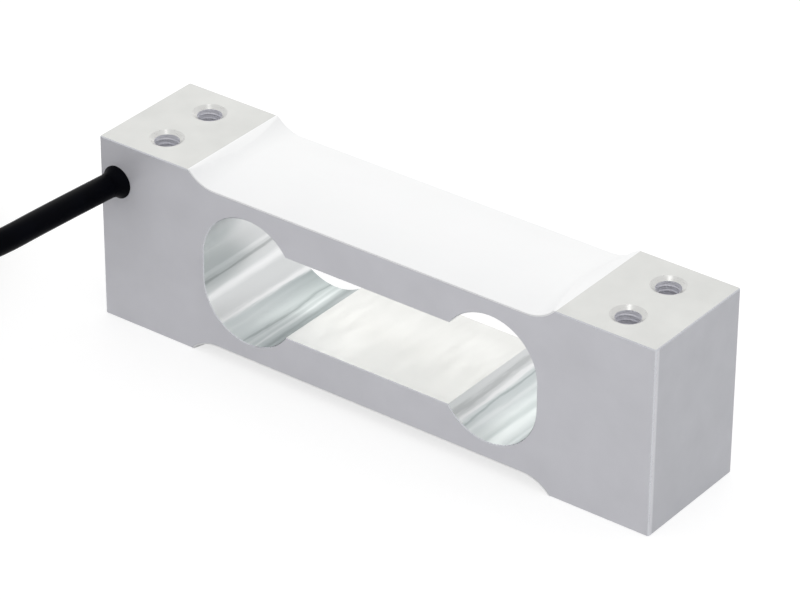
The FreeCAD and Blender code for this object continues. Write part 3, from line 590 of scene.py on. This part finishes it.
def pocket_streaks_and_reflections(name, middle, streaks, lower_fade):
    """Streaks along a pocket's wall, partly machining marks and partly painted reflection, placed
    by the angle round it, that fade to the back.
    """
    material, tree, shader = finish(name, Metallic=0.9)
    drift = object_noise(tree, 330, stretch=(1, 0.1, 1), detail=5, roughness=0.6)
    place = drifting(tree, round_pocket(tree, middle), drift, WANDER)
    mixed = colour_mix(tree, front_to_back(tree), streak_and_reflection_ramp(tree, place, streaks))
    feed(mixed, MIX_SECOND, streak_and_reflection_ramp(tree, place, streaks, UPPER_FADE, lower_fade))
    feed(shader, "Base Color", mixed.outputs[MIX_RESULT])
    feed(shader, "Roughness", spread(tree, drift, 0.4, 0.3))
    cutter_marks = object_noise(tree, 1400, stretch=(1, 0.03, 1), detail=3)
    add_bump(tree, shader, cutter_marks, 0.03 * MM)
    return material


left_streaks_and_reflections = pocket_streaks_and_reflections("cable_end_streaks_and_reflections", -POCKET_X, BOTH_ENDS + CABLE_END, lower_fade=0.6)
right_streaks_and_reflections = pocket_streaks_and_reflections("load_end_streaks_and_reflections", POCKET_X, BOTH_ENDS + LOAD_END, lower_fade=0.84)
print("streaks in each pocket:", len(BOTH_ENDS + CABLE_END))

# %% [markdown]
# The slot between the pockets is milled flat. Its floor is paler than the walls, partly because the
# cutter's end leaves finer marks than its side and partly as painted light: it is painted near
# white at the front, where the arm above shades it, and darker towards the back, as painted shade
# where it mirrors the most light.

# %% Slot floor
# These tones are painted light and shade: lighter at the front under the arm's shade, darker at the
# back where the lamp is mirrored.
SLOT_PAINTED_LIGHT = [
    (0.1, (0.995, 1, 0.985)), (0.28, (0.925, 0.93, 0.915)), (0.45, (0.85, 0.855, 0.84)),
    (0.65, (0.79, 0.795, 0.785)), (0.9, (0.71, 0.715, 0.705)),
]
SLOT_DRIFT = 0.02

milled, tree, shader = finish("milled_floor_painted_light", Metallic=0.88)
swirl = object_noise(tree, 500, stretch=(1, 0.2, 1))
depth = drifting(tree, front_to_back(tree), swirl, SLOT_DRIFT)
feed(shader, "Base Color", ramp(tree, depth, *SLOT_PAINTED_LIGHT))
feed(shader, "Roughness", spread(tree, swirl, 0.42, 0.5))
print("slot floor:", len(SLOT_PAINTED_LIGHT), "tones from front to back")

# %% [markdown]
# The broken edges are bare bright metal, rubbed smooth. The countersinks are turned clean and
# look almost like the face round them, and the tapped walls below are dull, because a thread
# scatters the light that falls in. They differ only in tone, gloss and grain, so one recipe makes
# them.


# %% Bare finishes
def grained(name, dark, light, scale, rough, metallic=0.0, stretch=(1, 1, 1)):
    """A finish whose colour and roughness vary together in a fine grain."""
    material, tree, shader = finish(name, Metallic=metallic)
    grain = object_noise(tree, scale, stretch)
    feed(shader, "Base Color", two_tone(tree, grain, dark, light))
    feed(shader, "Roughness", spread(tree, grain, *rough))
    return material


bright = grained(
    "bright_edge", (0.54, 0.55, 0.58), (0.6, 0.61, 0.64), 700, (0.22, 0.34), metallic=1.0,
)
sunk = grained(
    "turned_countersink", (0.615, 0.615, 0.6), (0.675, 0.675, 0.66), 900, (0.26, 0.32),
    metallic=0.8, stretch=(1, 1, 4),
)
tapped = grained(
    "tapped_wall", (0.8, 0.8, 0.84), (0.92, 0.92, 0.96), 900, (0.3, 0.42),
    metallic=0.5, stretch=(1, 1, 3),
)
print("bare finishes:", [material.name for material in (bright, sunk, tapped)])

# %% [markdown]
# Each finish is a slot on the same mesh. A face gets its slot from where it lies and which way it
# looks: all distances here are from the middle of the beam, since its ends and halves are alike.

# %% Aluminium faces
HOLE_X, HOLE_Y = 54, 6.5
HOLE_WALL, SINK_RIM = 2.6, 3.6
POCKETS_X, POCKETS_Z, SLOT_Z = 39.9, 14.6, 9.6
EDGE_X, EDGE_Z, MOUNT_Z = 64, 19.5, 19.9
ASIDE, BROKEN, SQUARE, FRONT, LEVEL = 0.3, 0.92, 0.9, 0.95, 0.98


def pocket_finish(left, height, along, up):
    """Which finish a face inside the pockets has."""
    if along > ASIDE:
        return bright
    if up > LEVEL and height < SLOT_Z:
        return milled
    return left_streaks_and_reflections if left else right_streaks_and_reflections


def beam_finish(centre, normal):
    """Which finish a face of the beam has, from its centre in millimetres and its direction."""
    x, y, height = abs(centre.x), abs(centre.y), abs(centre.z - BEAM_MIDDLE)
    across, along, up = (abs(v) for v in normal)
    from_hole = math.hypot(x - HOLE_X, y - HOLE_Y)
    if from_hole < HOLE_WALL and up < ASIDE:
        return tapped
    if from_hole < SINK_RIM and up < SQUARE:
        return sunk
    if x < POCKETS_X and height < POCKETS_Z and along < FRONT:
        return pocket_finish(centre.x < 0, height, along, up)
    if (x > EDGE_X or height > EDGE_Z) and max(across, along, up) < BROKEN:
        return bright
    if across > SQUARE and x > EDGE_X:
        return ends
    return mounts if up > SQUARE and height > MOUNT_Z else sides


finishes = (sides, ends, mounts, left_streaks_and_reflections, right_streaks_and_reflections, milled, bright, sunk, tapped)
for material in finishes:
    beam.data.materials.append(material)
counts = {}
for face in beam.data.polygons:
    material = beam_finish(face.center / MM, face.normal)
    face.material_index = finishes.index(material)
    counts[material.name] = counts.get(material.name, 0) + 1
print("beam faces:", counts)

# %% [markdown]
# The tapped holes show rings of thread under their countersinks. A thread is a small section spun
# round the hole while it climbs one pitch a turn, which is what the spin operator does when it is
# given a step along the axis. The section reaches a little into the wall, so that no gap shows.

# %% Threads
PITCH, THREAD_STEPS = 1.0, 28
HOLE_RADIUS, RIDGE, IN_WALL = 2.5, 0.06, 0.02
FOOT_HALF, CREST_HALF = 0.34, 0.06
BEAM_HEIGHT, THREAD_TOP, THREAD_LENGTH = 40, 39, 13
FOOT, CREST = HOLE_RADIUS + IN_WALL, HOLE_RADIUS - RIDGE
SECTION = [(FOOT, -FOOT_HALF), (CREST, -CREST_HALF), (CREST, CREST_HALF), (FOOT, FOOT_HALF)]


def thread(x, y, top):
    """The ridge of a thread in one mouth of a hole, at the top or at the underside."""
    shape = bmesh.new()
    low = THREAD_TOP - THREAD_LENGTH if top else BEAM_HEIGHT - THREAD_TOP
    section = shape.faces.new([shape.verts.new((x + r, y, low + z)) for r, z in SECTION])
    turns = THREAD_LENGTH / PITCH
    bmesh.ops.spin(
        shape, geom=[section, *section.edges, *section.verts], cent=(x, y, 0), axis=(0, 0, 1),
        dvec=(0, 0, PITCH / THREAD_STEPS), angle=math.tau * turns, steps=int(turns * THREAD_STEPS),
    )
    bmesh.ops.scale(shape, vec=(MM, MM, MM), verts=shape.verts)
    bmesh.ops.recalc_face_normals(shape, faces=shape.faces)
    return shape


ridges = [
    thread(x, y, top)
    for x in (-HOLE_X, HOLE_X) for y in (-HOLE_Y, HOLE_Y) for top in (True, False)
]
thread_mesh = bpy.data.meshes.new("hole_threads")
thread_shape = join_shapes(ridges, thread_mesh)
for face in thread_shape.faces:
    face.smooth = False
thread_shape.to_mesh(thread_mesh)
thread_shape.free()
thread_mesh.materials.append(tapped)
threads = add_piece("hole_threads", thread_mesh)
print("threads:", len(thread_mesh.polygons), "faces")

# %% [markdown]
# The silicone is a soft white skin, poured by hand: it has faint waves and a satin surface. It
# could glow a little from inside, but the photograph shows it as an even white, so a pale colour
# and a shallow bump are enough.

# %% Silicone
silicone, tree, shader = finish("white_silicone", Roughness=0.5)
pour = object_noise(tree, 60, detail=2)
feed(shader, "Base Color", two_tone(tree, pour, (0.935, 0.94, 0.945), (0.95, 0.955, 0.96)))
add_bump(tree, shader, object_noise(tree, 110, detail=3), 0.25 * MM, strength=0.5)
for piece in (top_silicone, bottom_silicone):
    piece.data.materials.append(silicone)
print("silicone on", top_silicone.name, "and", bottom_silicone.name)

# %% [markdown]
# The cable and its boot are matt black and mirror almost nothing. The shrink sleeve and the nylon
# strap are glossier plastics. All four are one recipe, each with its own roughness and gloss.


# %% Black pieces
def mottled(name, dark, light, scale, **sockets):
    """A finish of even gloss whose colour varies a little."""
    material, tree, shader = finish(name, **sockets)
    feed(shader, "Base Color", two_tone(tree, object_noise(tree, scale), dark, light))
    return material, tree, shader


BLACK, SOFT_BLACK = (0.0004, 0.0006, 0.0016), (0.001, 0.0014, 0.0034)
BLACK_PIECES = (
    ("black_jacket", cable, 0.4, 0.03),
    ("moulded_boot", boot, 0.4, 0.03),
    ("shrunk_sleeve", sleeve, 0.45, 0.16),
    ("moulded_nylon", tie, 0.38, 0.25),
)

for name, piece, roughness, gloss in BLACK_PIECES:
    material, tree, shader = mottled(
        name, BLACK, SOFT_BLACK, 200, Roughness=roughness, Specular_IOR_Level=gloss,
    )
    add_bump(tree, shader, object_noise(tree, 2500, detail=2), 0.01 * MM)
    piece.data.materials.append(material)
print("black finishes:", [name for name, *_ in BLACK_PIECES])

# %% [markdown]
# The cores' insulation is coloured plastic, in the four colours that such cells usually have, and
# the bare ends are tinned copper.

# %% Lead colours
LEAD_COLOURS = {
    "red": (0.5, 0.01, 0.01),
    "green": (0.01, 0.22, 0.05),
    "white": (0.85, 0.85, 0.83),
    "black": (0.012, 0.012, 0.012),
}
DEEPER = 0.8

for colour, piece in insulation.items():
    tone = LEAD_COLOURS[colour]
    deeper = tuple(DEEPER * v for v in tone)
    material, *_ = mottled(f"{colour}_insulation", deeper, tone, 400, Roughness=0.4)
    piece.data.materials.append(material)
tinned, *_ = mottled(
    "tinned_strands", (0.6, 0.55, 0.48), (0.8, 0.76, 0.7), 900, Metallic=1.0, Roughness=0.3,
)
for piece in copper:
    piece.data.materials.append(tinned)
print("lead colours:", list(LEAD_COLOURS))

# %% [markdown]
# Under the silicone lie the parts that do the measuring: foil gauges on amber film, two small
# circuit boards with their trim resistors, thin enamelled wires and the cable's four cores, set
# in resin where they enter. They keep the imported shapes, and each kind gets a finish of its own.
# A finish is found by how a node's name starts, so the longer beginnings come first.

# %% Inner finishes
enamel = grained(
    "enamelled_copper", (0.3, 0.08, 0.02), (0.5, 0.16, 0.05), 900, (0.25, 0.37), metallic=0.7,
)
ceramic = grained(
    "resistor_ceramic", (0.02, 0.02, 0.022), (0.045, 0.045, 0.05), 2500, (0.35, 0.47),
)
foil = grained("gauge_foil", (0.4, 0.2, 0.05), (0.6, 0.36, 0.13), 1800, (0.3, 0.42), metallic=0.3)
laminate = grained("board_laminate", (0.01, 0.1, 0.03), (0.03, 0.2, 0.07), 1200, (0.4, 0.52))
resin = grained("potting_resin", (0.02, 0.016, 0.012), (0.05, 0.04, 0.03), 500, (0.2, 0.32))
inner_finishes = {
    "gauge_wires": enamel,
    "link_wire": enamel,
    "gauge_": foil,
    "board_": laminate,
    "zero_resistor": ceramic,
    "span_resistor": ceramic,
    "bore_potting": resin,
}
for colour, piece in insulation.items():
    inner_finishes[f"core_{colour}"] = piece.data.materials[0]
dressed = 0
for name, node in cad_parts.items():
    for start, material in inner_finishes.items():
        if name.startswith(start):
            for place in node.material_slots:
                place.material = material
            dressed += 1
            break
print("inner pieces dressed:", dressed)

# %% [markdown]
# The cable is a free cord of real length, with the boot, the strap and the stripped end as the
# pieces on it.

print("cord declared with", 3 + len(insulation) + len(copper), "pieces on it")

# %% [markdown]
# A plain white studio. The world and the floor are white to the camera and in reflections, and
# light the object a little less than that, so that its pale faces don't wash out. A white picture
# behind the object would do for one view, but a lit world is right from every side.

# %% World
WORLD_LIGHT, WORLD_SEEN = 0.9, 1.0
WHITE = (1, 1, 1)


def seen_straight(tree):
    """1 for the camera, reflections and glass, and 0 for the light that a surface spreads."""
    path = tree.nodes.new("ShaderNodeLightPath").outputs
    seen = compute(tree, "MAXIMUM", path["Is Camera Ray"], path["Is Glossy Ray"])
    return compute(tree, "MAXIMUM", seen, path["Is Transmission Ray"])


world = bpy.data.worlds.new("studio")
scene.world = world
world.use_nodes = True
tree = world.node_tree
sky = tree.nodes["Background"]
sky.inputs["Color"].default_value = (*WHITE, 1)
feed(sky, "Strength", map_range(tree, seen_straight(tree), 0, 1, WORLD_LIGHT, WORLD_SEEN))
print("world:", WORLD_LIGHT, "as light and", WORLD_SEEN, "as seen")

# %% [markdown]
# The floor is a real surface that takes the object's shadow. It is grey under a glow that only
# shows when it is looked at, and the two add up to white.

# %% Floor
FLOOR_SIZE = 8
FLOOR_GREY, FLOOR_GLOW = (0.42, 0.42, 0.42), 0.68

bpy.ops.mesh.primitive_plane_add(size=FLOOR_SIZE, location=(0, 0, 0))
floor = bpy.context.object
floor.name = "studio_floor"
ground, tree, shader = finish(
    "studio_white", Roughness=0.9, Base_Color=FLOOR_GREY, Specular_IOR_Level=0,
    Emission_Color=WHITE,
)
glow = compute(tree, "MULTIPLY", seen_straight(tree), FLOOR_GLOW)
feed(shader, "Emission Strength", glow)
floor.data.materials.append(ground)
print("floor:", FLOOR_SIZE, "m wide")

# %% [markdown]
# One large soft lamp behind gives the tops their lighter tone, and a small one overhead puts a
# glint in the countersinks.

# %% Lamps
LAMP_AIM = Vector((0, 0, 0.02))


def softbox(name, place, size, energy, colour):
    """A square lamp aimed at the middle of the beam."""
    lamp_data = bpy.data.lights.new(name, "AREA")
    lamp_data.shape = "SQUARE"
    lamp_data.size = size
    lamp_data.energy = energy
    lamp_data.color = colour
    lamp = bpy.data.objects.new(name, lamp_data)
    scene.collection.objects.link(lamp)
    lamp.location = place
    lamp.rotation_euler = (LAMP_AIM - lamp.location).to_track_quat("-Z", "Y").to_euler()


softbox("top_softbox", (-0.5, 0.69, 0.56), size=0.7, energy=1.0, colour=(1, 0.98, 0.93))
softbox("top_spot", (0.04, -0.05, 1.0), size=0.12, energy=0.2, colour=WHITE)
print("lamps:", len(bpy.data.lights))
